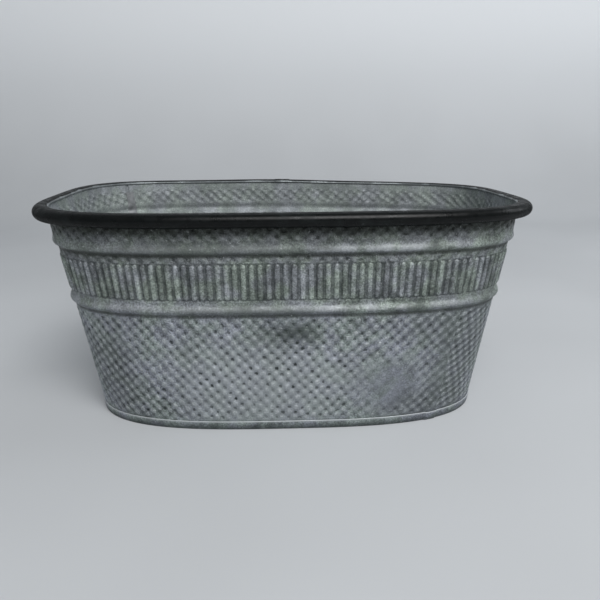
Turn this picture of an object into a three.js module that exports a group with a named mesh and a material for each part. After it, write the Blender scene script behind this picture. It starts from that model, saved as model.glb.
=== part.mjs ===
// A small oval trough of embossed, galvanised sheet steel. Two bent wall sheets meet in lap seams at opposite
// corners, stand in the channel of a floor pan, and carry a dark rolled rim band with a wire inside it.
//
// Frame: millimetres, origin at the middle of the footprint on the ground, +X along the trough, +Y across it, +Z up.
//
// Every piece starts as a plain box or a turned ring, and is then bent onto the wall. A place on the wall is an
// angle round the trough, a height, and a distance "out" from the wall's outer face.

import * as THREE from "three";

// Overall size.
const LENGTH = 400;
const WIDTH = 240;
const HEIGHT = 180;

// The plan is a superellipse, rounder at the foot than at the rim, and smaller by FLARE all round.
const FLARE = 24.2;
const SIDE_FLARE_SHARE = 0.857;
const FOOT_POWER = 3.06;
const RIM_POWER = 3.73;

// The rim isn't level: it is twisted across its corners, tilted along the trough, and bumped up at its joint.
const RIM_TWIST = -1.8;
const RIM_TILT = -1.9;
const JOINT_BUMP = 1.4;
const JOINT_X = -8;
const JOINT_REACH = 55;

// Sheet metal.
const SHEET = 0.6;
const PLATE = 0.7;
const GAP = 0.3;

// The rim's roll, its lip inside the wall, and the wire in the roll.
const ROLL_RADIUS = 5.5;
const LIP_OUT = -2;
const LIP_MIDDLE = 2;
const LIP_UP = 2;
const LIP_DROP = 2.8;
const ROLL_START = THREE.MathUtils.degToRad(-135);
const WIRE_RADIUS = 2.4;

// Pressed shapes of the wall: a bead low down, and a raised band with a shoulder bead under the rim.
const BEAD_HEIGHT = 104.2;
const BEAD_LIFT = 2.6;
const BEAD_BELOW = 4;
const BEAD_ABOVE = 6.2;
const BAND_FOOT = 147.6;
const BAND_HEIGHT = 151.2;
const BAND_LIFT = 2.1;
const SHOULDER_HEIGHT = 152;
const SHOULDER_LIFT = 1.1;
const SHOULDER_REACH = 5;

// The floor pan and its upturned foot channel.
const FLOOR_HEIGHT = 4.2;
const FOOT_RIM = 7.5;
const WALL_FOOT = 1;
const WALL_TOP = HEIGHT - 1.8;
const FLAT_REACH = 8;

// Lap seams, by their angle round the plan. Distances run from the seam's middle towards the front sheet.
const FRONT_SEAM = THREE.MathUtils.degToRad(306.2);
const BACK_SEAM = THREE.MathUtils.degToRad(133);
const LAP_LIFT = SHEET + GAP;
const LAP_STEPS = [-6.5, -4.5, 0, 3.5, 5, 7];
const FRONT_EDGE = -4.5;
const BACK_EDGE = 3.5;
const LAP_END = 5;
const CLEAR_OF_SEAM = 9;
const REGULAR_STATIONS = 56;

// Solder laid over each seam inside, and sealant round the floor's corner.
const SOLDER_HALF_WIDTH = 4;
const SOLDER_THICKNESS = 0.6;
const SOLDER_FOOT = 8;
const SOLDER_TOP = 170;
const SEALANT_LEG = 2.5;

const TOP_HALF_LENGTH = LENGTH / 2 - 2 * ROLL_RADIUS;
const TOP_HALF_WIDTH = WIDTH / 2 - 2 * ROLL_RADIUS;

const { lerp, smoothstep } = THREE.MathUtils;

function signedPower(value, power) {
  return Math.sign(value) * Math.abs(value) ** power;
}

// A bump of height 1, a raised cosine, with its own reach below and above its middle.
function bump(distance, below, above) {
  const reach = distance < 0 ? below : above;
  const t = Math.min(1, Math.abs(distance) / reach);
  return 0.5 + 0.5 * Math.cos(Math.PI * t);
}

// How far the wall's outer face stands out of the plain flared wall at a height.
function pressed(height) {
  const bead = BEAD_LIFT * bump(height - BEAD_HEIGHT, BEAD_BELOW, BEAD_ABOVE);
  const fade = (HEIGHT - height) / (HEIGHT - BAND_HEIGHT);
  const band = BAND_LIFT * smoothstep(height, BAND_FOOT, BAND_HEIGHT) * Math.min(1, fade);
  const shoulder = SHOULDER_LIFT * bump(height - SHOULDER_HEIGHT, SHOULDER_REACH, SHOULDER_REACH);
  return bead + band + shoulder;
}

// A point at an angle round the plan of a given height, "out" from the plain flared wall, raised to z.
function place(angle, planHeight, z, out) {
  const rise = planHeight / HEIGHT;
  const halfLength = TOP_HALF_LENGTH - FLARE * (1 - rise);
  const halfWidth = TOP_HALF_WIDTH - FLARE * SIDE_FLARE_SHARE * (1 - rise);
  const power = lerp(FOOT_POWER, RIM_POWER, rise);
  const across = signedPower(Math.cos(angle), 2 / power);
  const along = signedPower(Math.sin(angle), 2 / power);
  const normal = new THREE.Vector2(
    signedPower(across, power - 1) / halfLength,
    signedPower(along, power - 1) / halfWidth,
  ).normalize();
  const x = halfLength * across + out * normal.x;
  const y = halfWidth * along + out * normal.y;
  return new THREE.Vector3(x, y, z + (z / HEIGHT) * unevenness(x, y));
}

// How far the rim stands above its level at a point of the plan.
function unevenness(x, y) {
  const twist = (RIM_TWIST * x * y) / ((LENGTH / 2) * (WIDTH / 2));
  const tilt = (RIM_TILT * x) / (LENGTH / 2);
  const nearness = Math.exp(-(((x - JOINT_X) / JOINT_REACH) ** 2));
  const bumpUp = JOINT_BUMP * Math.max(0, y / (WIDTH / 2)) * nearness;
  return twist + tilt + bumpUp;
}

// The turn, in radians, for one millimetre along the wall at an angle.
function turnPerMillimetre(angle) {
  const step = 1e-3;
  const from = place(angle - step, HEIGHT / 2, 0, 0);
  const to = place(angle + step, HEIGHT / 2, 0, 0);
  return (2 * step) / from.distanceTo(to);
}

// A seam's own stations. The front sheet lies at greater angles than the back seam and at smaller ones than the
// front seam. Between the two lap ends the outer layers are lifted over the inner sheet.
function seamStations(seam, towardsFront) {
  const perMillimetre = turnPerMillimetre(seam) * towardsFront;
  return LAP_STEPS.map((step) => ({
    angle: seam + step * perMillimetre,
    lift: step >= FRONT_EDGE && step <= LAP_END ? LAP_LIFT : 0,
  }));
}

const backSeamStations = seamStations(BACK_SEAM, 1);
const frontSeamStations = seamStations(FRONT_SEAM, -1);

function clearOfSeam(angle, seam) {
  return Math.abs(angle - seam) > CLEAR_OF_SEAM * turnPerMillimetre(seam);
}

// All stations round the trough, in order of angle.
const stations = Array.from({ length: REGULAR_STATIONS }, (_, i) => (2 * Math.PI * i) / REGULAR_STATIONS)
  .filter((angle) => clearOfSeam(angle, BACK_SEAM) && clearOfSeam(angle, FRONT_SEAM))
  .map((angle) => ({ angle, lift: 0 }))
  .concat(backSeamStations, frontSeamStations)
  .sort((a, b) => a.angle - b.angle);

function seamAngle(seamStationList, distance) {
  return seamStationList[LAP_STEPS.indexOf(distance)].angle;
}

// Heights at which the sheets get a row of points: close together where the metal is pressed.
const wallRows = [
  WALL_FOOT,
  FOOT_RIM + 2,
  BEAD_HEIGHT / 2,
  BEAD_HEIGHT - BEAD_BELOW,
  BEAD_HEIGHT - BEAD_BELOW / 2,
  BEAD_HEIGHT,
  BEAD_HEIGHT + BEAD_ABOVE / 2,
  BEAD_HEIGHT + BEAD_ABOVE,
  BAND_FOOT,
  (BAND_FOOT + BAND_HEIGHT) / 2,
  BAND_HEIGHT,
  SHOULDER_HEIGHT,
  SHOULDER_HEIGHT + SHOULDER_REACH,
  SOLDER_TOP,
  WALL_TOP,
];

// A flat blank, one box cell per station and row, bent onto the wall. Its outer face stands "out" from the wall's.
function bentSheet(strip, rows, thickness, out) {
  const across = strip.length - 1;
  const up = rows.length - 1;
  const blank = new THREE.BoxGeometry(1, 1, 1, across, 1, up);
  const points = blank.attributes.position;
  for (let i = 0; i < points.count; i += 1) {
    const station = strip[Math.round((points.getX(i) + 0.5) * across)];
    const height = rows[Math.round((points.getZ(i) + 0.5) * up)];
    const depth = (points.getY(i) + 0.5) * thickness;
    const face = pressed(height) + station.lift + out - depth;
    const bent = place(station.angle, height, height, face);
    points.setXYZ(i, bent.x, bent.y, bent.z);
  }
  return blank;
}

// A ring turned from a section and bent onto the plan. A section point is (out, z), and toPlace puts it down.
function bentRing(section, toPlace) {
  const turned = new THREE.LatheGeometry(section, stations.length);
  const points = turned.attributes.position;
  for (let i = 0; i < points.count; i += 1) {
    const station = stations[Math.floor(i / section.length) % stations.length];
    const bent = toPlace(station, section[i % section.length]);
    points.setXYZ(i, bent.x, bent.y, bent.z);
  }
  return turned;
}

// Points on an arc of an ellipse, both ends included.
function arc(centre, radiusOut, radiusUp, from, to, steps) {
  return Array.from({ length: steps + 1 }, (_, i) => {
    const angle = lerp(from, to, i / steps);
    return new THREE.Vector2(
      centre.x + radiusOut * Math.cos(angle),
      centre.y + radiusUp * Math.sin(angle),
    );
  });
}

function closed(outline) {
  return [...outline, outline[0].clone()];
}

const UP = Math.PI / 2;
const rollCentre = new THREE.Vector2(ROLL_RADIUS, HEIGHT - ROLL_RADIUS);
const lipCentre = new THREE.Vector2(LIP_MIDDLE, HEIGHT - LIP_UP);

function onRimPlan(station, point) {
  return place(station.angle, HEIGHT, point.y, point.x);
}

// The band rolls from under the outside, over the wall's top edge and down inside as a lip.
function rimBand() {
  const lipHalf = lipCentre.x - LIP_OUT;
  const inner = ROLL_RADIUS - PLATE;
  const lipFoot = HEIGHT - LIP_DROP;
  const outline = [
    ...arc(rollCentre, ROLL_RADIUS, ROLL_RADIUS, ROLL_START, UP, 10),
    ...arc(lipCentre, lipHalf, LIP_UP, UP, Math.PI, 3),
    new THREE.Vector2(LIP_OUT, lipFoot),
    new THREE.Vector2(LIP_OUT + PLATE, lipFoot),
    ...arc(lipCentre, lipHalf - PLATE, LIP_UP - PLATE, Math.PI, UP, 2),
    ...arc(rollCentre, inner, inner, UP, ROLL_START, 8),
  ];
  return bentRing(closed(outline), onRimPlan);
}

// The wire lies in the roll's outer bottom corner.
function rimWire() {
  const rest = (ROLL_RADIUS - PLATE - GAP - WIRE_RADIUS) * Math.SQRT1_2;
  const centre = rollCentre.clone().add(new THREE.Vector2(rest, -rest));
  return bentRing(arc(centre, WIRE_RADIUS, WIRE_RADIUS, 0, 2 * Math.PI, 8), onRimPlan);
}

// On the pan and the sealant, the section leans with the wall, and layers outside the wall clear the laps.
function onFootPlan(station, point) {
  const lift = point.x > 0 ? station.lift : 0;
  return place(station.angle, point.y, point.y, point.x + lift);
}

// The pan's floor shrinks to a point at the middle. Its section gives the floor's outline as -FLAT_REACH.
function onPan(station, point) {
  if (point.x > -2 * FLAT_REACH) return onFootPlan(station, point);
  return new THREE.Vector3(0, 0, point.y);
}

// From the floor's middle, out along its underside, round the foot channel that holds the wall, and back.
function floorPan() {
  const middle = -TOP_HALF_LENGTH;
  const wallInside = -SHEET - GAP;
  const legInside = wallInside - PLATE;
  const outside = GAP + PLATE;
  const underside = FLOOR_HEIGHT - PLATE;
  const bend = 0.8;
  const section = [
    [middle, underside],
    [-FLAT_REACH, underside],
    [legInside - bend, underside],
    [legInside, underside - bend],
    [legInside, 0],
    [outside, 0],
    [outside, FOOT_RIM - bend],
    [GAP + PLATE / 2, FOOT_RIM],
    [GAP, FOOT_RIM - bend],
    [GAP, PLATE],
    [wallInside, PLATE],
    [wallInside, FLOOR_HEIGHT - bend],
    [wallInside - bend, FLOOR_HEIGHT],
    [-FLAT_REACH, FLOOR_HEIGHT],
    [middle, FLOOR_HEIGHT],
  ];
  return bentRing(section.map(([out, z]) => new THREE.Vector2(out, z)), onPan);
}

// A three-cornered bead in the corner between the floor and the wall.
function floorSealant() {
  const corner = new THREE.Vector2(-SHEET - GAP, FLOOR_HEIGHT + GAP);
  const outline = [
    corner,
    corner.clone().add(new THREE.Vector2(0, SEALANT_LEG)),
    corner.clone().add(new THREE.Vector2(-SEALANT_LEG, 0)),
  ];
  return bentRing(closed(outline), onFootPlan);
}

// A strip of solder over the edge of the inner sheet, inside the trough.
function seamSolder(seam, towardsFront) {
  const perMillimetre = turnPerMillimetre(seam) * towardsFront;
  const middle = seam + BACK_EDGE * perMillimetre;
  const reach = SOLDER_HALF_WIDTH * Math.abs(perMillimetre);
  const strip = [-1, 0, 1].map((side) => ({ angle: middle + side * reach, lift: 0 }));
  const rows = wallRows
    .filter((height) => height > SOLDER_FOOT && height <= SOLDER_TOP);
  return bentSheet(strip, rows, SOLDER_THICKNESS, -SHEET - GAP);
}

const frontStrip = stations.filter(
  ({ angle }) =>
    angle >= seamAngle(backSeamStations, FRONT_EDGE) &&
    angle <= seamAngle(frontSeamStations, FRONT_EDGE),
);

const backStrip = [
  ...stations.filter(({ angle }) => angle >= seamAngle(frontSeamStations, BACK_EDGE)),
  ...stations.filter(({ angle }) => angle <= seamAngle(backSeamStations, BACK_EDGE)),
].map(({ angle }) => ({ angle, lift: 0 }));

const galvanised = { color: 0x868d8f, roughness: 0.55, metalness: 0.8 };
const pieces = {
  wall_sheet_front: [bentSheet(frontStrip, wallRows, SHEET, 0), galvanised],
  wall_sheet_back: [bentSheet(backStrip, wallRows, SHEET, 0), galvanised],
  floor_pan: [floorPan(), galvanised],
  rim_band: [rimBand(), { color: 0x1b1f20, roughness: 0.4, metalness: 0.6 }],
  rim_wire: [rimWire(), { color: 0x6f7274, roughness: 0.45, metalness: 1 }],
  front_seam_solder: [seamSolder(FRONT_SEAM, -1), { color: 0x9a9fa1, roughness: 0.4, metalness: 0.9 }],
  back_seam_solder: [seamSolder(BACK_SEAM, 1), { color: 0x9a9fa1, roughness: 0.4, metalness: 0.9 }],
  floor_sealant: [floorSealant(), { color: 0x55595a, roughness: 0.8, metalness: 0 }],
};

const trough = new THREE.Group();
for (const [name, [geometry, finish]] of Object.entries(pieces)) {
  const mesh = new THREE.Mesh(geometry, new THREE.MeshStandardMaterial(finish));
  mesh.name = name;
  trough.add(mesh);
}

export default trough;
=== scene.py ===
# %% [markdown]
# # An oval trough of pressed, galvanised sheet steel
#
# The trough is bent from two embossed sheets that meet in lap seams at opposite corners. The sheets stand
# in the channel of a floor pan, and a dark band is rolled round their top edge. Everything here is worked
# out from one idea: a place on the wall is an angle round the plan, a height, and a distance out from the
# wall's outer face. Each sheet or ring is a grid of such places, so a pressed pattern is only a small
# change of the distance out.
#
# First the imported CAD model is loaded. It is the fixed frame that every new piece has to fit.

# %% Load the frame
from math import radians

import bmesh
import bpy
import numpy as np
from mathutils import Matrix, Vector


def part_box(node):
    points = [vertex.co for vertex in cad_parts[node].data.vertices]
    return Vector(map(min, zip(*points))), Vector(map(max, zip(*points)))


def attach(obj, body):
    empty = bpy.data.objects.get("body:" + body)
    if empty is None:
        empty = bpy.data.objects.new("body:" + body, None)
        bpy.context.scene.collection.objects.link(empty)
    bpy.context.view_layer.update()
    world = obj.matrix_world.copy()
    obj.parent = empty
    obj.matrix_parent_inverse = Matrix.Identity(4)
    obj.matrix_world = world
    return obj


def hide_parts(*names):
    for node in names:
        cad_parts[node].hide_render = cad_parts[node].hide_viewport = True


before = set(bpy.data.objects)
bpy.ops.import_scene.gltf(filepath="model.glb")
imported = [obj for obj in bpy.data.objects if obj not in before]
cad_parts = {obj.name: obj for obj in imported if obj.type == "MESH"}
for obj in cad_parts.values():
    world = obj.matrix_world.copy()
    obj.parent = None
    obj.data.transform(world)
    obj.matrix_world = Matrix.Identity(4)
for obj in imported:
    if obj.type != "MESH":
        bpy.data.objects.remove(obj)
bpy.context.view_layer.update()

rim_low, rim_high = (np.array(corner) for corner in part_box("rim_band"))
pan_low, pan_high = (np.array(corner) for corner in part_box("floor_pan"))
print("nodes:", sorted(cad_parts))
print("rim size in mm:", np.round((rim_high - rim_low) * 1000, 1))
print("floor pan size in mm:", np.round((pan_high - pan_low) * 1000, 1))

# %% [markdown]
# ## The plan and the flare
#
# Seen from above, the trough is neither a rectangle nor an ellipse but something between them, a
# superellipse. Its power sets how square the corners are: about 3 at the foot and nearly 4 at the rim. The
# wall also flares, so the plan grows with height. A model made of straight sides and round ends would show
# where they meet; the superellipse has no such places, as a bent sheet has none.

# %% Sizes in metres
MM = 0.001
LENGTH, WIDTH = (rim_high - rim_low)[:2]
HEIGHT = 180 * MM
ROLL_RADIUS = 5.5 * MM
FLARE = 24.2 * MM
SIDE_FLARE_SHARE = 0.857
FOOT_POWER, RIM_POWER = 3.06, 3.73
TOP_HALF_LENGTH = LENGTH / 2 - 2 * ROLL_RADIUS
TOP_HALF_WIDTH = WIDTH / 2 - 2 * ROLL_RADIUS
SHEET = 0.6 * MM
PLATE = 0.7 * MM
GAP = 0.3 * MM
RIM_TWIST, RIM_TILT = -1.8 * MM, -1.9 * MM
JOINT_BUMP, JOINT_X, JOINT_REACH = 1.4 * MM, -8 * MM, 55 * MM
print("flare at the ends:", round(FLARE / MM, 1), "mm")


# %% Plan, unevenness and placing
def signed_power(value, power):
    """The value's size raised to the power, with the value's sign kept."""
    return np.sign(value) * np.abs(value) ** power


def step(low, high, value):
    """0 below low, 1 above high, and a smooth S between: 3 t squared less 2 t cubed."""
    t = np.clip((value - low) / (high - low), 0, 1)
    return t * t * (3 - 2 * t)


def bump(distance, below, above):
    """1 at distance 0, falling to 0 as a raised cosine over its reach below and above."""
    reach = np.where(distance < 0, below, above)
    return 0.5 + 0.5 * np.cos(np.pi * np.clip(np.abs(distance) / reach, 0, 1))


def unevenness(x, y):
    """How far the rim stands above its level: x y for the twist, x for the tilt, and a bell at its joint."""
    twist = RIM_TWIST * x * y / ((LENGTH / 2) * (WIDTH / 2))
    tilt = RIM_TILT * x / (LENGTH / 2)
    bell = np.exp(-(((x - JOINT_X) / JOINT_REACH) ** 2))
    return twist + tilt + JOINT_BUMP * np.maximum(0, y / (WIDTH / 2)) * bell


def place(angle, plan_height, z, out):
    """The superellipse of that height at the angle, moved out along its own normal, and raised to z."""
    rise = plan_height / HEIGHT
    half_length = TOP_HALF_LENGTH - FLARE * (1 - rise)
    half_width = TOP_HALF_WIDTH - FLARE * SIDE_FLARE_SHARE * (1 - rise)
    power = FOOT_POWER + (RIM_POWER - FOOT_POWER) * rise
    across = signed_power(np.cos(angle), 2 / power)
    along = signed_power(np.sin(angle), 2 / power)
    normal_x = signed_power(across, power - 1) / half_length
    normal_y = signed_power(along, power - 1) / half_width
    size = np.hypot(normal_x, normal_y)
    x = half_length * across + out * normal_x / size
    y = half_width * along + out * normal_y / size
    return np.stack(np.broadcast_arrays(x, y, z + z / HEIGHT * unevenness(x, y)), axis=-1)


# %% [markdown]
# ## Measuring along the wall
#
# The pressed pattern has a real size in millimetres, so it needs a coordinate that measures millimetres
# along the sheet and not degrees. A place along the wall is given as a length at mid height. At another
# height the same place lies at the same share of the perimeter, so each height is walked once in small
# steps, and the share that has been walked is turned back into an angle. The steps are shorter near the
# four sides' middles, where the superellipse runs quickly through its angle.

# %% Length along the wall
even_steps = np.linspace(-np.pi, 3 * np.pi, 24001)
table_angles = even_steps - 0.235 * np.sin(4 * even_steps)


def walked(height):
    """Lengths walked along the plan at a height, over two turns, at the table's angles."""
    places = place(table_angles, height, 0.0, 0.0)[:, :2]
    return np.concatenate([[0], np.cumsum(np.linalg.norm(np.diff(places, axis=0), axis=1))])


middle_lengths = walked(HEIGHT / 2)
PERIMETER, foot_perimeter, rim_perimeter = (walked(height)[-1] / 2 for height in (HEIGHT / 2, 0.0, HEIGHT))


def length_at(angle):
    """Length along the wall, at mid height, up to an angle in radians."""
    return np.interp(angle, table_angles, middle_lengths)


def angle_at(length, height):
    """The angle at each height where the walk has covered the same share of the perimeter."""
    length, height = np.broadcast_arrays(length, height)
    angles = np.empty(length.shape)
    for level in np.unique(height):
        here = height == level
        lengths = walked(level)
        angles[here] = np.interp(length[here] / PERIMETER * lengths[-1] / 2, lengths, table_angles)
    return angles


FRONT_MIDDLE, BACK_MIDDLE = length_at(radians(270.0)), length_at(radians(450.0))
perimeters = np.array([foot_perimeter, PERIMETER, rim_perimeter])
print("perimeter at foot, middle and rim:", np.round(perimeters / MM), "mm")

# %% [markdown]
# ## What the press leaves in the wall
#
# From the foot up, the wall carries a field of staggered dimples, a bead, a band of upright flutes, a
# shoulder bead, and a narrow raised band with two more rows of dimples. Each is a height that depends on
# the place on the sheet:
#
# * a bead is a raised cosine in z;
# * the dimples come from two diagonal cosine waves. Their sum peaks on a grid whose every second row is
#   shifted by half a step, which is the staggered grid of the real press tool;
# * a flute is a capsule: the distance to a short upright line decides the height, so its ends come out
#   round.
#
# The sheet was embossed flat and then bent into a flared wall. Flattened again, that wall is a piece of a
# wide ring, so rows of dimples that were straight on the flat sheet bend upwards on the trough, as a
# parabola does, and they weren't laid quite level either. The columns lean a little too. The press tool is
# old: its rows wander by about half a millimetre, and each pit has its own depth, drawn from one seeded
# table.

# %% Heights of the pressed shapes
BEAD_HEIGHT, BEAD_LIFT, BEAD_BELOW, BEAD_ABOVE = 104.2 * MM, 2.6 * MM, 4.0 * MM, 6.2 * MM
BAND_FOOT, BAND_HEIGHT, BAND_LIFT = 147.6 * MM, 151.2 * MM, 2.1 * MM
SHOULDER_HEIGHT, SHOULDER_LIFT, SHOULDER_REACH = 152 * MM, 1.1 * MM, 5 * MM
WALL_FOOT, WALL_TOP = 1 * MM, HEIGHT - 1.8 * MM
FOOT_RIM = 7.5 * MM

DIMPLE_ACROSS, DIMPLE_UP = 9.7 * MM, 9.8 * MM
DIMPLE_DEPTH, DIMPLE_RIDGE = 0.9 * MM, 0.4 * MM
DIMPLE_LEAN, LEAN_WAVE, LEAN_MIDDLE = 0.1, 420 * MM, 20 * MM
FLUTE_PITCH, FLUTE_HALF_WIDTH, FLUTE_LIFT = 5.6 * MM, 2.05 * MM, 1.1 * MM
FLUTE_LOW, FLUTE_HIGH = 112.9 * MM, 141.2 * MM


def pressed(height):
    """The beads and the raised band: how far the outer face stands out of the plain flared wall."""
    bead = BEAD_LIFT * bump(height - BEAD_HEIGHT, BEAD_BELOW, BEAD_ABOVE)
    fade = np.minimum(1, (HEIGHT - height) / (HEIGHT - BAND_HEIGHT))
    band = BAND_LIFT * step(BAND_FOOT, BAND_HEIGHT, height) * fade
    shoulder = SHOULDER_LIFT * bump(height - SHOULDER_HEIGHT, SHOULDER_REACH, SHOULDER_REACH)
    return bead + band + shoulder


def zone(height, low, high, soft):
    """1 between two heights, fading to 0 over a soft edge at each."""
    return step(low - soft, low + soft, height) * (1 - step(high - soft, high + soft, height))


def dimple_field(height):
    """Where the sheet carries dimples: the lower wall, a row above the flutes, and two rows under the rim."""
    lower = zone(height, 9.5 * MM, 97.5 * MM, 1.6 * MM)
    over_flutes = zone(height, 142 * MM, 147.0 * MM, 0.8 * MM)
    under_rim = zone(height, 158.5 * MM, 170 * MM, 1.2 * MM)
    return lower + 0.8 * over_flutes + 0.85 * under_rim


# %% Pattern coordinates
COLUMN_LEAN, ROW_SLOPE, ROW_BEND = 0.115, 0.081, 0.29
DIMPLE_SLIP = 0.45 * MM
FLUTE_SPREAD = 0.105


def widening(height):
    """How much longer the perimeter is at a height than at mid height, as a share."""
    return (height / HEIGHT - 0.5) * (rim_perimeter - foot_perimeter) / PERIMETER


def dimple_place(length, height):
    """Place in the grid of dimples, in steps of the grid. The slips are slow sines of the place."""
    across = length * (1 + widening(height)) - COLUMN_LEAN * (height - HEIGHT / 2)
    up = height + ROW_SLOPE * length - ROW_BEND * length**2
    slip_across = np.sin(130 * length + 95 * height) + 0.7 * np.sin(270 * length - 190 * height)
    slip_up = np.sin(110 * length - 140 * height) + 0.7 * np.sin(240 * length + 230 * height)
    return (across + DIMPLE_SLIP * slip_across) / DIMPLE_ACROSS, (up + DIMPLE_SLIP * slip_up) / DIMPLE_UP


def flute_length(length, height):
    """Length from the front's middle: flutes are upright and wide on the flat sides, fanned at the ends."""
    turns = 4 * np.pi / PERIMETER
    length = length - FRONT_MIDDLE
    return length + (widening(height) - FLUTE_SPREAD) / turns * np.sin(turns * length)


# %% Dimples and flutes
PIT_SEED, PIT_TABLE, LEAST_PIT, MOST_PIT = 41, 97, 0.45, 1.1
PIT_CHANCES = np.random.default_rng(PIT_SEED).uniform(LEAST_PIT, MOST_PIT, (PIT_TABLE, PIT_TABLE))
PIT_START = 0.25


def lean_at(across):
    """How far one diagonal outweighs the other: a slow sine along the sheet."""
    return DIMPLE_LEAN * np.sin(2 * np.pi * (across * DIMPLE_ACROSS - LEAN_MIDDLE) / LEAN_WAVE)


def pit_shares(across, up):
    """How deep each pit is, as a share: one seeded chance per pit, found by counting the two diagonals."""
    falling, rising = np.round(across + up).astype(int), np.round(across - up).astype(int)
    return PIT_CHANCES[falling % PIT_TABLE, rising % PIT_TABLE]


def dimples(across, up):
    """Two diagonal waves make pits where they add up and low ridges where they both dip, in metres."""
    turn_across, turn_up, lean = 2 * np.pi * across, 2 * np.pi * up, lean_at(across)
    grid = (0.5 - lean) * np.cos(turn_across + turn_up) + (0.5 + lean) * np.cos(turn_across - turn_up)
    pits = DIMPLE_DEPTH * step(PIT_START, 1.0, grid) * pit_shares(across, up)
    return DIMPLE_RIDGE * step(0.0, 1.0, -grid) - pits


def flutes(length, height):
    """Capsules: near a short upright line, within the half width, a flattened half circle is raised."""
    middle = (FLUTE_LOW + FLUTE_HIGH) / 2
    half_line = (FLUTE_HIGH - FLUTE_LOW) / 2 - FLUTE_HALF_WIDTH
    beside = (length / FLUTE_PITCH - np.round(length / FLUTE_PITCH)) * FLUTE_PITCH
    beyond = np.maximum(0, np.abs(height - middle) - half_line)
    distance = np.hypot(beside, beyond) / FLUTE_HALF_WIDTH
    return FLUTE_LIFT * np.sqrt(1 - np.clip(distance, 0, 1) ** 2)


# %% [markdown]
# ## Lap seams
#
# The front sheet lies over the back sheet at the front right corner and at the back left corner. Near its
# two ends it steps outwards by its own thickness, which a tinsmith calls a joggle. Dimples and flutes are
# pressed flat where two sheets lie on each other.

# %% Seams
SEAMS = {"front": (radians(306.2), -1), "back": (radians(133.0), 1)}
LAP_LIFT = SHEET + GAP
FRONT_EDGE, BACK_EDGE = -4.5 * MM, 3.5 * MM
LAP_END, LAP_FOOT = 5 * MM, 7 * MM
RAMP_START = -6.5 * MM
CALM_EDGE = 1.5 * MM
LAP_FLATNESS = 0.7


def past_seam(length, seam):
    """Length from a seam's middle, positive towards the front sheet."""
    angle, towards_front = SEAMS[seam]
    return (length - length_at(angle)) * towards_front


def lap_lift(length):
    """How far the layers outside the inner sheet are lifted, near either seam."""
    lift = np.zeros_like(length)
    for seam in SEAMS:
        along = past_seam(length, seam)
        along = (along + PERIMETER / 2) % PERIMETER - PERIMETER / 2
        lift = lift + step(RAMP_START, FRONT_EDGE, along) * (1 - step(LAP_END, LAP_FOOT, along))
    return lift * LAP_LIFT


def seam_calm(length, low, high):
    """1 away from the seams, and 0 from low to high past them, with a soft edge at each end."""
    calm = np.ones_like(length)
    for seam in SEAMS:
        along = past_seam(length, seam)
        along = (along + PERIMETER / 2) % PERIMETER - PERIMETER / 2
        calm = calm * (1 - step(low - CALM_EDGE, low, along) * (1 - step(high, high + CALM_EDGE, along)))
    return calm


# %% [markdown]
# ## Marks of age on the sheets
#
# A patch about 5 cm wide low on the front has been rubbed nearly smooth, and its dimples are faint. A second
# spot under the bead is stained dark. Both are soft bells on the wall, kept as numbers per vertex so that
# the relief and the finish agree about them. A slow wave makes the pressing a little uneven, as worn
# tooling does.

# %% Wear and stains

def bell(length, height, at_x, at_height, reach_x, reach_up):
    """A soft round spot on the front wall: e to the minus squared distance, each way in its own reach."""
    beside = (length - FRONT_MIDDLE - at_x) / reach_x
    above = (height - at_height) / reach_up
    return np.exp(-(beside**2 + above**2))


def rubbed(length, height):
    """How much the pressing is rubbed away, from 0 to 1."""
    return np.clip(1.15 * bell(length, height, 88 * MM, 36 * MM, 25 * MM, 23 * MM), 0, 1)


def stained(length, height):
    """How much dark stain there is, from 0 to 1."""
    under_bead = bell(length, height, 5 * MM, 86 * MM, 21 * MM, 11 * MM)
    on_shoulder = bell(length, height, 101 * MM, 154 * MM, 4 * MM, 4 * MM)
    on_bead = bell(length, height, 97 * MM, 106 * MM, 5 * MM, 5 * MM)
    return np.clip(under_bead + 0.7 * on_shoulder + 0.7 * on_bead, 0, 1)


def paleness(length, height):
    """Pale and dull parts of the front, from -1 for dull to 1 for pale."""
    middle = bell(length, height, -25 * MM, 38 * MM, 100 * MM, 46 * MM)
    right_shoulder = bell(length, height, 80 * MM, 153 * MM, 38 * MM, 6 * MM)
    left_shoulder = bell(length, height, -50 * MM, 153 * MM, 80 * MM, 6.5 * MM)
    left_bead = bell(length, height, -30 * MM, 105 * MM, 60 * MM, 5.5 * MM)
    left_corner = bell(length, height, -142 * MM, 40 * MM, 34 * MM, 60 * MM)
    left_line = bell(length, height, -130 * MM, 147 * MM, 45 * MM, 4 * MM)
    low_right = bell(length, height, 108 * MM, 13 * MM, 42 * MM, 17 * MM)
    right_corner = bell(length, height, 150 * MM, 60 * MM, 45 * MM, 60 * MM)
    under_right_bead = bell(length, height, 95 * MM, 88 * MM, 60 * MM, 14 * MM)
    pale = middle + 0.5 * right_shoulder
    dull = 1.05 * left_shoulder + 1.2 * left_bead + left_line + 1.1 * left_corner + right_corner
    dull = dull + 1.2 * low_right + 0.5 * under_right_bead
    return np.clip(pale - dull, -1, 1)


def unevenly(length, height):
    """A slow wave from 0.75 to 1, a sum of three sines."""
    slow = np.sin(37 * length + 11 * height) + np.sin(61 * height - 23 * length)
    return 0.875 + 0.0417 * (slow + np.sin(83 * length + 47 * height))


# %% [markdown]
# ## From grids to closed sheets
#
# A sheet is two grids, its outer and its inner face, joined by a strip along each edge. The faces are index
# arithmetic on whole arrays: the cell at row i and column j uses the vertices i, j to i+1, j+1. The inner
# face takes the same cells the other way round, so that both look away from the metal.

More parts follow.
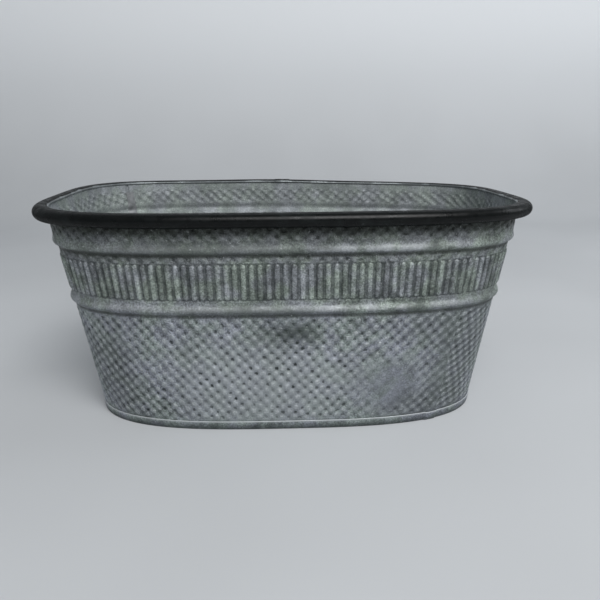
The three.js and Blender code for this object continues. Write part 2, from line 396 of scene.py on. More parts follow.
# %% Grid helpers
def grid_cells(rows, columns, first=0):
    """Quads of a rows by columns grid of vertices numbered along the columns, facing the right-hand way."""
    start = first + np.arange(rows - 1)[:, None] * columns + np.arange(columns - 1)[None, :]
    corners = [start, start + 1, start + columns + 1, start + columns]
    return np.stack(corners, axis=-1).reshape(-1, 4)


def edge_strip(outer_line, inner_line):
    """Quads between two lines of vertex numbers."""
    corners = [outer_line[:-1], inner_line[:-1], inner_line[1:], outer_line[1:]]
    return np.stack(corners, axis=-1)


def make_mesh(name, points, faces, sharp_degrees=48):
    """A mesh object at the origin, smooth but for edges over that angle."""
    mesh = bpy.data.meshes.new(name)
    mesh.from_pydata(points.reshape(-1, 3).tolist(), [], faces.tolist())
    mesh.polygons.foreach_set("use_smooth", np.ones(len(mesh.polygons), bool))
    mesh.set_sharp_from_angle(angle=radians(sharp_degrees))
    piece = bpy.data.objects.new(name, mesh)
    bpy.context.scene.collection.objects.link(piece)
    return piece


def shell(name, outer, inner):
    """A closed sheet from the grids of its outer and inner faces, rows upwards and columns anticlockwise."""
    rows, columns = outer.shape[:2]
    numbers = np.arange(rows * columns).reshape(rows, columns)
    other = numbers + rows * columns
    faces = np.concatenate([
        grid_cells(rows, columns),
        grid_cells(rows, columns, rows * columns)[:, ::-1],
        edge_strip(numbers[0], other[0]),
        edge_strip(other[-1], numbers[-1]),
        edge_strip(other[:, 0], numbers[:, 0]),
        edge_strip(numbers[:, -1], other[:, -1]),
    ])
    return make_mesh(name, np.concatenate([outer.reshape(-1, 3), inner.reshape(-1, 3)]), faces)


def set_uv(piece, layer, u, v):
    """A UV map from one u and one v per vertex."""
    mesh = piece.data
    corners = np.empty(len(mesh.loops), np.int32)
    mesh.loops.foreach_get("vertex_index", corners)
    uv = mesh.uv_layers.new(name=layer)
    uv.uv.foreach_set("vector", np.stack([u, v], axis=-1)[corners].astype(np.float32).ravel())


def set_value(piece, name, values):
    """One number per vertex, which a material reads as an attribute."""
    attribute = piece.data.attributes.new(name, "FLOAT", "POINT")
    attribute.data.foreach_set("value", values.astype(np.float32).ravel())


# %% [markdown]
# ## The two wall sheets
#
# The rows of the grid are close together where the metal is pressed and wide apart where it is plain. About five
# columns make one flute. That keeps each sheet under 200,000 triangles, with every dimple still a real
# hollow.

# %% Rows and columns of the sheets
PRESSED_STOPS = np.array([99, 112.5, 117, 137, 172]) * MM
ROW_STOPS = np.concatenate([[WALL_FOOT, FOOT_RIM + 1 * MM], PRESSED_STOPS, [WALL_TOP]])
ROW_PITCH = np.array([3.7, 1.65, 1.15, 0.95, 3.3, 1.35, 2.5]) * MM
sheet_rows = np.concatenate([
    np.linspace(low, high, max(1, round((high - low) / pitch)), endpoint=False)
    for low, high, pitch in zip(ROW_STOPS[:-1], ROW_STOPS[1:], ROW_PITCH)
] + [[WALL_TOP]])
COLUMN_PITCH = FLUTE_PITCH / 5
print(len(sheet_rows), "rows, one column every", round(COLUMN_PITCH / MM, 2), "mm")


# %% Bend the sheets
def wall_sheet(name, first_length, last_length, pattern_middle, calm_reach, lifted):
    """A sheet from one length along the wall to another, with its pressing, wear and coordinates."""
    columns = round((last_length - first_length) / COLUMN_PITCH) + 1
    lengths, heights = np.meshgrid(np.linspace(first_length, last_length, columns), sheet_rows)
    across, up = dimple_place(lengths - pattern_middle, heights)
    calm = seam_calm(lengths, *calm_reach)
    worn = rubbed(lengths, heights)
    field = dimple_field(heights) * (1 - 0.93 * worn) * unevenly(lengths, heights)
    lapped = 1 - seam_calm(lengths, FRONT_EDGE, LAP_END)
    flute_lengths = flute_length(lengths, heights)
    fluted = flutes(flute_lengths, heights) * calm
    out = pressed(heights) + fluted + dimples(across, up) * field * (1 - LAP_FLATNESS * lapped)
    out = out + (lap_lift(lengths) if lifted else 0)
    angles = angle_at(lengths, heights)
    piece = shell(name, place(angles, heights, heights, out), place(angles, heights, heights, out - SHEET))
    set_uv(piece, "dimples", np.tile(across.ravel(), 2), np.tile(up.ravel(), 2))
    set_uv(piece, "along", np.tile(flute_lengths.ravel(), 2), np.tile(heights.ravel(), 2))
    set_value(piece, "inside", np.repeat([0.0, 1.0], lengths.size))
    set_value(piece, "paleness", np.tile(paleness(lengths, heights).ravel(), 2))
    set_value(piece, "lean", np.tile(lean_at(across).ravel(), 2))
    set_value(piece, "pit_share", np.tile(pit_shares(across, up).ravel(), 2))
    set_value(piece, "calm", np.tile(calm.ravel(), 2))
    set_value(piece, "pressing", np.tile((field * (1 - 0.3 * lapped)).ravel(), 2))
    set_value(piece, "rubbed", np.tile(worn.ravel(), 2))
    set_value(piece, "stained", np.concatenate([stained(lengths, heights).ravel(), np.zeros(lengths.size)]))
    triangles = 2 * len(piece.data.polygons)
    print(name, "has", triangles, "triangles")
    return piece


front_seam_length = length_at(SEAMS["front"][0])
back_seam_length = length_at(SEAMS["back"][0])
under_lap = (FRONT_EDGE, BACK_EDGE)
edge_only = (FRONT_EDGE, FRONT_EDGE + CALM_EDGE)
front_ends = (back_seam_length + FRONT_EDGE, front_seam_length - FRONT_EDGE)
back_ends = (front_seam_length - BACK_EDGE, back_seam_length + PERIMETER + BACK_EDGE)
front_sheet = wall_sheet("front_sheet", *front_ends, FRONT_MIDDLE, edge_only, True)
back_sheet = wall_sheet("back_sheet", *back_ends, BACK_MIDDLE, under_lap, False)

# %% [markdown]
# ## Rings: the rim band, the foot and the sealant
#
# A ring is a section carried round the plan. Each section is a closed line of (out, z) points, and its
# round stretches are arcs of ellipses. The grid closes on itself both ways.

# %% Ring helpers
RING_STATIONS = 720
ring_lengths = back_seam_length + PERIMETER * np.arange(RING_STATIONS) / RING_STATIONS
rim_angles, foot_angles = angle_at(ring_lengths, HEIGHT), angle_at(ring_lengths, 0.0)


def arc(centre, radii, start, end, steps):
    """Points on an arc of an ellipse in the section, angles in degrees, both ends included."""
    angle = np.radians(np.linspace(start, end, steps + 1))
    return np.stack([centre[0] + radii[0] * np.cos(angle), centre[1] + radii[1] * np.sin(angle)], axis=-1)


def ring(name, points):
    """A closed ring from a grid of places, stations by section points."""
    stations, around = points.shape[:2]
    numbers = np.arange(stations * around).reshape(stations, around)
    numbers = np.concatenate([numbers, numbers[:1]])
    numbers = np.concatenate([numbers, numbers[:, :1]], axis=1)
    corners = [numbers[:-1, :-1], numbers[1:, :-1], numbers[1:, 1:], numbers[:-1, 1:]]
    return make_mesh(name, points, np.stack(corners, axis=-1).reshape(-1, 4))


# %% [markdown]
# The rim band starts under the roll, runs round the outside, over the wall's top edge, and ends as a lip
# inside. Its two ends lap at the middle of the back: for a finger's width the roll is a sheet thicker, with
# a small step at the end. Slow dents follow the hand that bent it.

# %% Rim band
LIP_OUT, LIP_DROP = -2 * MM, 2.8 * MM
ROLL_CENTRE = np.array([ROLL_RADIUS, HEIGHT - ROLL_RADIUS])
LIP_CENTRE = np.array([2 * MM, HEIGHT - 2 * MM])
LIP_RADII = np.array([LIP_CENTRE[0] - LIP_OUT, HEIGHT - LIP_CENTRE[1]])
LAP_STEP, LAP_REACH = 0.35 * MM, 13 * MM
INWARD_START, INWARD_END = 0.2 * MM, 1.7 * MM


def rim_section():
    """The band's closed section and, beside it, 1 for each point on its outer side and 0 for the inner."""
    inner = ROLL_RADIUS - PLATE
    lip_foot = HEIGHT - LIP_DROP
    outside = [
        arc(ROLL_CENTRE, (ROLL_RADIUS, ROLL_RADIUS), -135, 90, 40),
        arc(LIP_CENTRE, LIP_RADII, 90, 180, 14)[1:],
        arc((LIP_OUT + PLATE / 2, lip_foot + PLATE / 2), (PLATE / 2, PLATE / 2), 180, 360, 6),
    ]
    inside = [
        arc(LIP_CENTRE, LIP_RADII - PLATE, 180, 90, 8),
        arc(ROLL_CENTRE, (inner, inner), 90, -135, 26),
    ]
    sides = [np.ones(sum(map(len, outside))), np.zeros(sum(map(len, inside)))]
    return np.concatenate(outside + inside), np.concatenate(sides)


def rim_band():
    """The section, a little smaller than the CAD one but at the lap, with slow dents along it."""
    section, outer_side = rim_section()
    joint = length_at(radians(90.0)) + PERIMETER - JOINT_X
    along = (ring_lengths - joint + PERIMETER / 2) % PERIMETER - PERIMETER / 2
    lapped = step(-LAP_REACH, -LAP_REACH + 0.8 * MM, along) * (1 - step(0, 1.5 * MM, along))
    dents = 0.5 * np.sin(29 * ring_lengths) + 0.5 * np.sin(53 * ring_lengths + 1.3)
    shrink = LAP_STEP * (1 - lapped) + 0.09 * MM * (1 + dents)
    towards_middle = (ROLL_CENTRE - section) / np.linalg.norm(section - ROLL_CENTRE, axis=1)[:, None]
    offset = towards_middle[None] * (shrink[:, None] * outer_side[None])[..., None]
    points = section[None] + offset
    roll = ring("rim_roll", place(rim_angles[:, None], HEIGHT, points[..., 1], points[..., 0]))
    inward = step(INWARD_START, INWARD_END, -section[:, 0]) * (section[:, 1] > HEIGHT - LIP_DROP)
    set_value(roll, "inward", np.tile(inward, RING_STATIONS))
    return roll


rim_roll = rim_band()
print("rim_roll has", len(rim_roll.data.polygons), "faces")

# %% [markdown]
# The floor pan is one sheet. Its section leaves the middle of the floor, drops into the channel that holds
# the wall, and comes up outside it as the foot seam. The seam was crimped in a machine, which left small
# ripples in its upper edge, stronger where the plan turns. The floor itself is slightly domed, as thin
# sheet always is.

# %% Floor pan
FLOOR_HEIGHT = 4.2 * MM
CRIMP_PITCH, CRIMP_DEPTH = 8.5 * MM, 0.22 * MM
DOME = 0.5 * MM
FLOOR_RINGS = np.linspace(0, 1, 26)


def corner_share(angle):
    """0 on the straight sides and 1 on the corners: 4 times the squared product of the direction's parts."""
    nearby = place(np.stack([angle - 1e-3, angle + 1e-3]), HEIGHT / 2, 0.0, 0.0)
    along = nearby[1] - nearby[0]
    along = along / np.linalg.norm(along, axis=-1, keepdims=True)
    return 4 * (along[..., 0] * along[..., 1]) ** 2


def channel_section():
    """From the floor's edge under the sheet, round the channel, and back to the floor's edge above it."""
    wall_inside = -SHEET - GAP
    leg_inside = wall_inside - PLATE
    foot = FOOT_RIM - PLATE / 2
    underside = FLOOR_HEIGHT - PLATE
    bend = 0.8 * MM
    round_foot = 0.45 * MM
    return np.concatenate([
        arc((leg_inside - bend, underside - bend), (bend, bend), 90, 0, 5),
        arc((leg_inside + round_foot, round_foot), (round_foot, round_foot), 180, 270, 4),
        arc((GAP + PLATE - round_foot, round_foot), (round_foot, round_foot), 270, 360, 4),
        np.stack([np.full(6, GAP + PLATE), np.linspace(1.4 * MM, foot - 0.6 * MM, 6)], axis=-1),
        arc((GAP + PLATE / 2, foot), (PLATE / 2, PLATE / 2), 0, 180, 6),
        [[GAP, PLATE], [wall_inside, PLATE]],
        arc((wall_inside - bend, FLOOR_HEIGHT - bend), (bend, bend), 0, 90, 5),
    ])


def floor_pan():
    """The channel as a ring, and the floor as rings that shrink to one point at the middle."""
    section = channel_section()
    crimps = np.sin(2 * np.pi * ring_lengths / CRIMP_PITCH) * (0.25 + 0.75 * corner_share(foot_angles))
    top = step(3 * MM, FOOT_RIM, section[:, 1]) * (section[:, 0] > GAP / 2)
    out = section[None, :, 0] + (section[None, :, 0] > GAP / 2) * lap_lift(ring_lengths)[:, None]
    out = out - CRIMP_DEPTH * (0.5 + 0.5 * crimps[:, None]) * top
    heights = np.broadcast_to(section[:, 1], out.shape)
    channel = place(foot_angles[:, None], heights, heights, out)
    floors = []
    for edge, outwards in ((channel[:, 0], True), (channel[:, -1], False)):
        share = FLOOR_RINGS[:-1] if outwards else FLOOR_RINGS[-2::-1]
        disc = edge[:, None, :] * np.array([1, 1, 0]) * share[None, :, None]
        level = edge[:, 2].mean()
        disc[..., 2] = level + (edge[:, None, 2] - level) * share + DOME * (1 - share**2) ** 2
        floors.append(disc)
    points = np.concatenate([floors[0], channel, floors[1]], axis=1)
    on_foot = np.zeros(points.shape[:2])
    on_foot[:, len(FLOOR_RINGS) - 1 : 1 - len(FLOOR_RINGS)] = section[:, 0] > GAP / 2
    # Painted shade: the foot seam is darkened towards the ground.
    near_ground = on_foot * (1 - step(0.5 * MM, 6.5 * MM, points[..., 2]))
    rubbed_edge = on_foot * step(FOOT_RIM - 1.3 * MM, FOOT_RIM - 0.4 * MM, points[..., 2])
    return ring_with_poles("foot_pan", points, {"near_ground": near_ground, "rubbed": rubbed_edge})


def ring_with_poles(name, points, values):
    """A ring whose section starts and ends on the axis, where all stations meet in one merged point."""
    stations, around = points.shape[:2]
    numbers = np.arange(stations * around).reshape(stations, around)
    numbers = np.concatenate([numbers, numbers[:1]])
    corners = [numbers[:-1, :-1], numbers[1:, :-1], numbers[1:, 1:], numbers[:-1, 1:]]
    piece = make_mesh(name, points, np.stack(corners, axis=-1).reshape(-1, 4))
    for value_name, value in values.items():
        set_value(piece, value_name, value)
    merged = bmesh.new()
    merged.from_mesh(piece.data)
    bmesh.ops.remove_doubles(merged, verts=merged.verts, dist=1e-7)
    bmesh.ops.recalc_face_normals(merged, faces=merged.faces)
    merged.to_mesh(piece.data)
    merged.free()
    return piece


foot_pan = floor_pan()
print("foot_pan has", len(foot_pan.data.polygons), "faces")

# %% [markdown]
# ## Solder and sealant
#
# Inside, a strip of solder covers the edge of the inner sheet at each seam, and a bead of sealant fills the
# corner round the floor. Both are put on by hand, so their width and thickness wander a little.

# %% Solder strips and sealant bead
SOLDER_HALF_WIDTH, SOLDER_THICKNESS = 3.6 * MM, 0.5 * MM
SEALANT_LEG = 2.5 * MM


def solder_strip(name, seam):
    """A low pillow along the seam on the inner face, its width a sum of two sines of the height."""
    angle, towards_front = SEAMS[seam]
    middle = length_at(angle) + BACK_EDGE * towards_front
    heights = np.linspace(9.5 * MM, 170 * MM, 150)[:, None]
    side = np.linspace(-1, 1, 15)[None, :]
    width = SOLDER_HALF_WIDTH * (1 + 0.08 * np.sin(300 * heights) + 0.06 * np.sin(770 * heights + 2))
    pillow = SOLDER_THICKNESS * (1 - side**2) * (1 + 0.15 * np.sin(520 * heights + 3 * side))
    face = pressed(heights) - SHEET
    heights = np.broadcast_to(heights, pillow.shape)
    angles = angle_at(middle + side * width, heights)
    towards_wall = place(angles, heights, heights, face - 0.05 * MM + 0 * pillow)
    towards_tub = place(angles, heights, heights, face - 0.12 * MM - pillow)
    return shell(name, towards_wall, towards_tub)


def sealant_bead():
    """A fillet in the corner between floor and wall, hollow in front, its leg wandering with the length."""
    leg = SEALANT_LEG * (0.85 + 0.08 * np.sin(41 * ring_lengths) + 0.06 * np.sin(130 * ring_lengths))
    corner = np.array([-SHEET - 0.1 * MM, FLOOR_HEIGHT + 0.05 * MM])
    turn = np.radians(np.linspace(180, 270, 9))
    curve = np.stack([-1 - np.cos(turn), 1 + np.sin(turn)], axis=-1)
    outline = np.concatenate([[[0.0, 0.0]], curve])
    points = corner + outline[None] * leg[:, None, None]
    return ring("floor_bead", place(foot_angles[:, None], points[..., 1], points[..., 1], points[..., 0]))


front_solder = solder_strip("front_solder", "front")
back_solder = solder_strip("back_solder", "back")
floor_bead = sealant_bead()
print("solder strips and sealant made")

# %% [markdown]
# ## Node helpers for the finishes
#
# A finish is a small program of nodes. These helpers keep each step of it to one line: a node is added,
# numbers and colours are typed into it, and outputs of earlier nodes are linked to it.

# %% Node helpers
def add_node(tree, kind, inputs=(), **settings):
    """A node with its settings, and its inputs set to values or linked to earlier outputs."""
    made = tree.nodes.new(kind)
    for name, value in settings.items():
        setattr(made, name, value)
    for key, value in dict(inputs).items():
        if isinstance(value, bpy.types.NodeSocket):
            tree.links.new(value, made.inputs[key])
        else:
            made.inputs[key].default_value = value
    return made


def calc(tree, operation, first, second=0.0, third=0.0, clamp=False):
    """The output of one Math node."""
    inputs = {0: first, 1: second, 2: third}
    return add_node(tree, "ShaderNodeMath", inputs, operation=operation, use_clamp=clamp).outputs[0]


def ramp(tree, value, low, high, to_low=0.0, to_high=1.0):
    """A smooth S from to_low to to_high while the value goes from low to high."""
    inputs = {"Value": value, "From Min": low, "From Max": high, "To Min": to_low, "To Max": to_high}
    made = add_node(tree, "ShaderNodeMapRange", inputs, interpolation_type="SMOOTHSTEP")
    return made.outputs["Result"]


def noise(tree, where, scale, detail=4.0, roughness=0.55):
    """Noise from 0 to 1 at a scale in features per metre."""
    inputs = {"Vector": where, "Scale": scale, "Detail": detail, "Roughness": roughness}
    return add_node(tree, "ShaderNodeTexNoise", inputs).outputs["Fac"]


def blend(tree, share, first, second, how="MIX"):
    """Two colours mixed by a share."""
    made = add_node(tree, "ShaderNodeMix", data_type="RGBA", blend_type=how)
    for key, value in ((0, share), (6, first), (7, second)):
        if isinstance(value, bpy.types.NodeSocket):
            tree.links.new(value, made.inputs[key])
        else:
            made.inputs[key].default_value = value if key == 0 else (*value, 1.0)
    return made.outputs[2]


def times(tree, first, *others):
    """The product of outputs and numbers."""
    for other in others:
        first = calc(tree, "MULTIPLY", first, other)
    return first


def coat(tree, tone, colour, *shares):
    """A colour laid over a tone, as strongly as the product of the shares."""
    return blend(tree, times(tree, *shares), tone, colour)


def tint(tree, tone, factor):
    """A tone multiplied by a colour or a number."""
    return blend(tree, 1.0, tone, factor, "MULTIPLY")


def attribute(tree, name):
    """A number kept per vertex."""
    return add_node(tree, "ShaderNodeAttribute", attribute_name=name).outputs["Fac"]


def map_parts(tree, uv_map):
    """Both numbers of one of a sheet's maps: steps of the dimple grid, or length and height on the wall."""
    uv = add_node(tree, "ShaderNodeUVMap", uv_map=uv_map).outputs["UV"]
    split = add_node(tree, "ShaderNodeSeparateXYZ", {"Vector": uv})
    return split.outputs[0], split.outputs[1]


def new_finish(name):
    """A material with its tree, its shader and the object coordinates."""
    finish = bpy.data.materials.new(name)
    finish.use_nodes = True
    tree = finish.node_tree
    shader = tree.nodes["Principled BSDF"]
    where = add_node(tree, "ShaderNodeTexCoord").outputs["Object"]
    return finish, tree, shader, where


def relief(tree, shader, height, distance, strength=1.0):
    """Fine relief on the shader's normal, from a height of 0 to 1 and its real size in metres."""
    made = add_node(tree, "ShaderNodeBump", {"Strength": strength, "Distance": distance, "Height": height})
    tree.links.new(made.outputs["Normal"], shader.inputs["Normal"])


# %% [markdown]
# ## Old galvanising
#
# Fresh zinc is bright and shows crystals a few millimetres wide, the spangle. Years outdoors turn it into a
# dull grey, lighter in some places and duller in others, dark in every hollow, and greener in one place and
# more violet in the next. The finish is built in this order: two grey tones mottled by noise, faint crystals
# and speckle; paler and duller parts; painted highlights on the ridges and on the bumps inside; dark pits and
# grooves, partly dirt and partly painted shade; painted shade under the beads and the rim; painted highlights
# on the beads; a painted shadow in the rim's black just under the rim; the stain; and last the patch rubbed smooth.

# %% Galvanised finish
ZINC_DARK = (0.105, 0.118, 0.120)
ZINC_MID = (0.215, 0.235, 0.242)
ZINC_PALE = (0.40, 0.43, 0.445)
# Dark of the hollows: partly dirt, partly painted shade. On the foot it is painted shade towards the ground.
HOLLOW = (0.030, 0.038, 0.038)
# Colour of random bright specks, and of the painted highlights.
SPECK = (0.66, 0.69, 0.70)
RUBBED_ZINC = (0.24, 0.255, 0.29)
# Colour of the painted shade under the beads and under the rim.
PAINTED_SHADE = (0.024, 0.028, 0.023)
STAIN = (0.042, 0.056, 0.047)
UPPER_CAST, GREEN_CAST, VIOLET_CAST = (1.0, 1.0, 0.93), (0.94, 1.0, 0.93), (1.0, 0.98, 1.085)
# The rim's own black, which is also painted on the wall as the shadow under the rim.
RIM_BLACK = (0.0015, 0.0022, 0.0022)


def zinc_tone(tree, where):
    """Mottled grey: slow patches, finer clouds, faint crystals, fine speckle, and a green or violet cast."""
    patches = ramp(tree, noise(tree, where, 14, 3), 0.32, 0.68)
    clouds = ramp(tree, noise(tree, where, 90, 5, 0.65), 0.30, 0.72)
    tone = blend(tree, patches, ZINC_DARK, ZINC_MID)
    tone = coat(tree, tone, ZINC_PALE, clouds, 0.75)
    crystals = add_node(tree, "ShaderNodeTexVoronoi", {"Vector": where, "Scale": 160.0})
    shade = ramp(tree, crystals.outputs["Color"], 0.0, 1.0, 0.88, 1.10)
    speckle = ramp(tree, noise(tree, where, 720, 4, 0.8), 0.36, 0.66, 0.62, 1.45)
    tone = tint(tree, tone, times(tree, shade, speckle))
    casts = ramp(tree, noise(tree, where, 52, 3), 0.38, 0.62)
    return tint(tree, tone, blend(tree, casts, GREEN_CAST, VIOLET_CAST))


def galvanised(name, on_sheet):
    """The zinc finish. On the sheets it also reads the pressed pattern and the marks of age, with painted shade and
    highlights.
    """
    finish, tree, shader, where = new_finish(name)
    tone = zinc_tone(tree, where)
    height = times(tree, noise(tree, where, 900, 3, 0.7), 0.55)
    if on_sheet:
        tone, height = pressed_finish(tree, tone, height, where)
    else:
        tone = foot_finish(tree, tone)
    specks = ramp(tree, noise(tree, where, 420, 2, 0.6), 0.66, 0.76)
    tree.links.new(coat(tree, tone, SPECK, specks, 0.38), shader.inputs["Base Color"])
    dull = ramp(tree, noise(tree, where, 70, 4), 0.3, 0.7, 0.42, 0.66)
    if on_sheet:
        dull = calc(tree, "MULTIPLY_ADD", attribute(tree, "inside"), 0.18, dull)
    tree.links.new(dull, shader.inputs["Roughness"])
    shader.inputs["Metallic"].default_value = 0.55
    relief(tree, shader, height, 0.7 * MM)
    return finish


def foot_finish(tree, tone):
    """The foot seam: painted shade that darkens it towards the ground, and bare metal along its rubbed upper edge."""
    tone = coat(tree, tone, HOLLOW, attribute(tree, "near_ground"), 0.8)
    return coat(tree, tone, SPECK, attribute(tree, "rubbed"), 0.75)


def attribute_wave(tree):
    """The same two diagonal waves as in the relief, from the sheet's own coordinates."""
    across, up = (times(tree, part, 2 * np.pi) for part in map_parts(tree, "dimples"))
    lean = attribute(tree, "lean")
    falling = calc(tree, "COSINE", calc(tree, "ADD", across, up))
    rising = calc(tree, "COSINE", calc(tree, "SUBTRACT", across, up))
    falling = times(tree, falling, calc(tree, "SUBTRACT", 0.5, lean))
    return calc(tree, "MULTIPLY_ADD", rising, calc(tree, "ADD", 0.5, lean), falling)


def flute_groove(tree):
    """1 in the grooves between flutes and 0 on them, from the distance to the flute's middle line."""
    length, height = map_parts(tree, "along")
    beside = calc(tree, "PINGPONG", length, FLUTE_PITCH / 2)
    middle, half_line = (FLUTE_LOW + FLUTE_HIGH) / 2, (FLUTE_HIGH - FLUTE_LOW) / 2 - FLUTE_HALF_WIDTH
    above = calc(tree, "ABSOLUTE", calc(tree, "SUBTRACT", height, middle))
    beyond = calc(tree, "MAXIMUM", calc(tree, "SUBTRACT", above, half_line), 0.0)
    squares = calc(tree, "ADD", times(tree, beside, beside), times(tree, beyond, beyond))
    away = ramp(tree, calc(tree, "SQRT", squares), FLUTE_HALF_WIDTH - 0.9 * MM, FLUTE_HALF_WIDTH + 0.3 * MM)
    inside = ramp(tree, beyond, FLUTE_HALF_WIDTH + 1.2 * MM, FLUTE_HALF_WIDTH - 0.6 * MM)
    return times(tree, away, inside, attribute(tree, "calm"))


def flute_tones(tree):
    """Each flute a little darker or paler than the next: a chance per flute, and 1 outside the flutes."""
    length, height = map_parts(tree, "along")
    number = calc(tree, "ROUND", calc(tree, "DIVIDE", length, FLUTE_PITCH))
    chance = add_node(tree, "ShaderNodeTexWhiteNoise", {"W": number}, noise_dimensions="1D").outputs["Value"]
    above, below = ramp(tree, height, 112 * MM, 114 * MM), ramp(tree, height, 142 * MM, 140 * MM)
    change = times(tree, calc(tree, "SUBTRACT", chance, 0.35), 0.5)
    return calc(tree, "MULTIPLY_ADD", times(tree, above, below), change, 1.0)


def line_share(tree, height, line, reach, core, strength):
    """Full strength within the core of a line round the wall, and nothing beyond its reach."""
    away = calc(tree, "ABSOLUTE", calc(tree, "SUBTRACT", height, line))
    return ramp(tree, away, reach, core, 0.0, strength)


SHADE_LINES = (
    (BEAD_HEIGHT - BEAD_BELOW, 2.4 * MM, 0.64),
    (BAND_FOOT, 3.2 * MM, 0.74),
    (BAND_FOOT - 3 * MM, 6 * MM, 0.28),
)


def shade_under_ledges(tree, wander):
    """Painted shade: a dark line under each bead, and the band under the rim, darkest towards the rim."""
    height = map_parts(tree, "along")[1]
    share = times(tree, ramp(tree, height, 154.5 * MM, 167 * MM), 0.92)
    share = calc(tree, "MAXIMUM", share, ramp(tree, height, 155.5 * MM, 159 * MM, 0.0, 0.4))
    for line, reach, strength in SHADE_LINES:
        on_line = line_share(tree, height, line, reach, 0.4 * MM, strength)
        share = calc(tree, "MAXIMUM", share, on_line)
    uneven = calc(tree, "ADD", times(tree, wander, 0.5), 1.0)
    return calc(tree, "MULTIPLY", share, uneven, clamp=True)


def painted_rim_shadow(tree, wander):
    """Painted shadow under the rim: the rim's black laid a little way down the wall, to an uneven edge."""
    uneven_height = calc(tree, "MULTIPLY_ADD", wander, 2.5 * MM, map_parts(tree, "along")[1])
    return ramp(tree, uneven_height, 166.5 * MM, 170 * MM, 0.0, 0.95)


HIGHLIGHT_LINES = ((BEAD_HEIGHT + 2.0 * MM, 0.27), (SHOULDER_HEIGHT + 0.8 * MM, 0.23))


def bead_highlights(tree, where, wander):
    """Painted highlight on the upper side of each bead, strongest on the front's right."""
    length, height = map_parts(tree, "along")
    right_of_middle = times(tree, ramp(tree, length, 8 * MM, 42 * MM), ramp(tree, length, 130 * MM, 90 * MM))
    share = 0.0
    for line, strength in HIGHLIGHT_LINES:
        on_line = line_share(tree, height, line, 3.2 * MM, 0.8 * MM, strength)
        share = calc(tree, "MAXIMUM", share, on_line)
    broken = ramp(tree, noise(tree, where, 52, 3, 0.6), 0.36, 0.62, 0.25, 1.5)
    share = times(tree, share, broken, calc(tree, "MULTIPLY_ADD", right_of_middle, 0.7, 0.3))
    return calc(tree, "MULTIPLY", share, calc(tree, "ADD", wander, 1.0), clamp=True)


def pattern_shares(tree, where, wander):
    """Shares for the pits, the ridges between them and the grooves between flutes, all with ragged edges."""
    grid = calc(tree, "ADD", attribute_wave(tree), wander)
    pressing = attribute(tree, "pressing")
    ridge = times(tree, ramp(tree, grid, 0.1, -0.7), pressing)
    uneven = ramp(tree, noise(tree, where, 55, 2), 0.3, 0.7, 0.7, 1.1)
    depth = times(tree, attribute(tree, "pit_share"), uneven)
    pit = times(tree, ramp(tree, grid, 0.48, 0.92), pressing)
    pit = calc(tree, "MULTIPLY", pit, depth, clamp=True)
    groove = calc(tree, "MULTIPLY", flute_groove(tree), calc(tree, "ADD", 0.8, wander), clamp=True)
    return pit, ridge, groove


def broad_tones(tree, tone, inside):
    """Broad changes: paler and duller parts, a warmer cast above the bead, and a paler inside."""
    paleness_share = attribute(tree, "paleness")
    tone = coat(tree, tone, ZINC_PALE, ramp(tree, paleness_share, 0.0, 1.0), 0.62)
    tone = coat(tree, tone, ZINC_DARK, ramp(tree, paleness_share, 0.0, -1.0), 0.65)
    upper = calc(tree, "MAXIMUM", ramp(tree, map_parts(tree, "along")[1], 90 * MM, 115 * MM), inside)
    tone = blend(tree, upper, tone, tint(tree, tone, UPPER_CAST))
    return coat(tree, tone, ZINC_PALE, inside, 0.35)


def rubbed_patch(tree, tone, where, outside):
    """The patch rubbed smooth: blotched violet grey, with pale scuffs round its edge."""
    worn = attribute(tree, "rubbed")
    blotches = ramp(tree, noise(tree, where, 75, 4, 0.7), 0.38, 0.6)
    tone = coat(tree, tone, blend(tree, blotches, ZINC_DARK, RUBBED_ZINC), worn, 0.5)
    edge = times(tree, ramp(tree, worn, 0.08, 0.3), ramp(tree, worn, 0.75, 0.4))
    scuffs = times(tree, ramp(tree, noise(tree, where, 150, 4, 0.7), 0.46, 0.66), outside)
    return coat(tree, tone, ZINC_PALE, edge, scuffs, 0.45)


